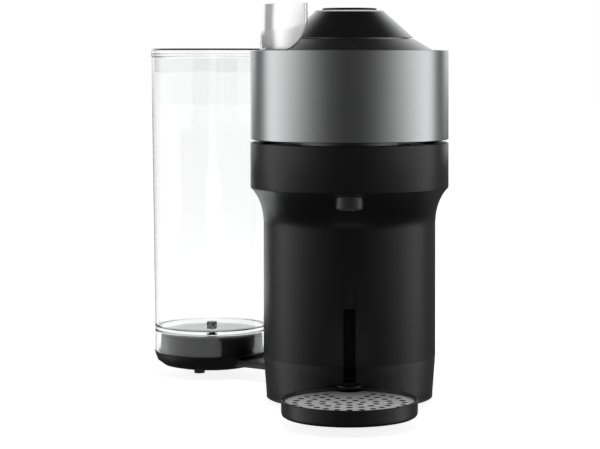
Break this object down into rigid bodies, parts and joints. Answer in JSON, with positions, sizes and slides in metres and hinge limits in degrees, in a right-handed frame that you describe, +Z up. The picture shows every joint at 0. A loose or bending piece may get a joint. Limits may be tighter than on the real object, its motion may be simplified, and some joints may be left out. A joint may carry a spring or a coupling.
{
  "type": "pod coffee machine",
  "caption": "Pod coffee machine with a round lift-up brewing head, height-adjustable cup support, rear capsule drawer and a clear water tank on a swivelling arm.",
  "frame": {"origin": "on the floor, on the axis about which the tank arm swivels, at the centre of the pivot pad's underside", "axes": "+Z up, -Y towards the front (the cup side), +X to the machine's right seen from the front"},
  "size_m": [0.2317, 0.3269, 0.2941],
  "materials": {
    "black_body": "fine satin texture",
    "gloss_black": "semi-gloss",
    "inner_black": "plain moulded",
    "outlet_black": "polished",
    "satin_band": "satin grey titanium tone",
    "dark_titanium": "metallic satin",
    "bright_chrome": "mirror polish",
    "lever_plastic": "semi-gloss",
    "button_dark": "gloss",
    "button_light": "translucent",
    "clear_tank": "clear moulded plastic",
    "rubber": "matt",
    "silicone": "translucent silicone",
    "steel": "drawn",
    "perforated_steel": "satin",
    "heater_metal": "cast",
    "pump_body": "natural nylon",
    "circuit_board": "solder mask"
  },
  "bodies": {
    "base": {"base_plate": "black_body", "base_shell": "black_body", "cord_gland": "inner_black", "pivot_plate": "steel", "pivot_pad": "rubber", "front_feet": "rubber", "column_shell": "black_body", "rear_cover": "black_body", "slot_rail": "inner_black", "head_ring": "gloss_black", "head_chassis": "inner_black", "head_deck": "inner_black", "coffee_trough": "inner_black", "nozzle": "outlet_black", "holder_bearing": "steel", "drive_belt": "rubber", "motor_bracket": "steel", "motor": "steel", "hinge_bracket": "steel", "hinge_pin": "steel", "hinge_screws": "steel", "pump": "pump_body", "heater": "heater_metal", "control_board": "circuit_board", "power_board": "circuit_board", "cold_hose": "silicone", "hot_hose": "silicone"},
    "holder": {"capsule_holder": "inner_black"},
    "motor_rotor": {"motor_pulley": "pump_body", "motor_shaft": "steel"},
    "head": {"head_band": "satin_band", "head_inner": "inner_black", "head_arm": "steel", "head_collar": "dark_titanium", "head_cone": "bright_chrome", "button_ring": "button_light", "button_board": "circuit_board", "button_spring": "steel", "clamp_bearing": "steel", "water_inlet": "inner_black", "head_hose": "silicone"},
    "button": {"start_button": "button_dark"},
    "clamp": {"clamp_disc": "steel", "clamp_seal": "rubber"},
    "lever": {"lever": "bright_chrome", "lever_ring": "lever_plastic"},
    "cup_support": {"drip_tray": "gloss_black", "tray_bracket": "gloss_black"},
    "grille": {"drip_grille": "perforated_steel"},
    "tank_arm": {"swivel_arm": "black_body", "tank_pedestal": "black_body", "inlet_socket": "inner_black", "inlet_seal": "rubber", "arm_foot": "rubber", "arm_hose": "silicone"},
    "tank": {"water_tank": "clear_tank", "valve_spring": "steel"},
    "valve": {"tank_valve": "inner_black"},
    "lid": {"tank_lid": "clear_tank"},
    "container": {"capsule_container": "black_body"}
  },
  "joints": [
    {"name": "head_open", "type": "hinge", "parent": "base", "child": "head", "pos_m": [0, -0.036, 0.199], "axis": [-1, 0, 0], "range_deg": [0, 62]},
    {"name": "lever_turn", "type": "hinge", "parent": "head", "child": "lever", "pos_m": [0, -0.113, 0.26], "axis": [0, 0, -1], "range_deg": [0, 35]},
    {"name": "button_press", "type": "slide", "parent": "head", "child": "button", "axis": [0, 0, -1], "range_m": [0, 0.0015], "stiffness_N_per_m": 500, "springref_m": -0.003, "deforming": ["button_spring"]},
    {"name": "holder_spin", "type": "hinge", "parent": "base", "child": "holder", "pos_m": [0, -0.113, 0.18], "axis": [0, 0, 1], "continuous": true},
    {"name": "motor_spin", "type": "hinge", "parent": "base", "child": "motor_rotor", "pos_m": [0, -0.022, 0.16], "axis": [0, 0, 1], "continuous": true},
    {"name": "clamp_spin", "type": "hinge", "parent": "head", "child": "clamp", "pos_m": [0, -0.113, 0.2], "axis": [0, 0, 1], "continuous": true},
    {"name": "support_slide", "type": "slide", "parent": "base", "child": "cup_support", "axis": [0, 0, 1], "range_m": [0, 0.045]},
    {"name": "grille_lift", "type": "slide", "parent": "cup_support", "child": "grille", "axis": [0, 0, 1], "range_m": [0, 0.03]},
    {"name": "tank_swing", "type": "hinge", "parent": "base", "child": "tank_arm", "pos_m": [0, 0, 0.01], "axis": [0, 0, -1], "range_deg": [-12, 125]},
    {"name": "tank_lift", "type": "slide", "parent": "tank_arm", "child": "tank", "axis": [0, 0, 1], "range_m": [0, 0.1]},
    {"name": "valve_lift", "type": "slide", "parent": "tank", "child": "valve", "axis": [0, 0, 1], "range_m": [0, 0.002], "stiffness_N_per_m": 150, "springref_m": -0.003, "deforming": ["valve_spring"]},
    {"name": "lid_lift", "type": "slide", "parent": "tank", "child": "lid", "axis": [0, 0, 1], "range_m": [0, 0.05]},
    {"name": "container_pull", "type": "slide", "parent": "base", "child": "container", "axis": [0, 1, 0], "range_m": [0, 0.09]}
  ],
  "couplings": [
    {"joint": "motor_spin", "follows": "holder_spin", "ratio": 4.4444},
    {"joint": "clamp_spin", "follows": "holder_spin", "ratio": 1}
  ]
}
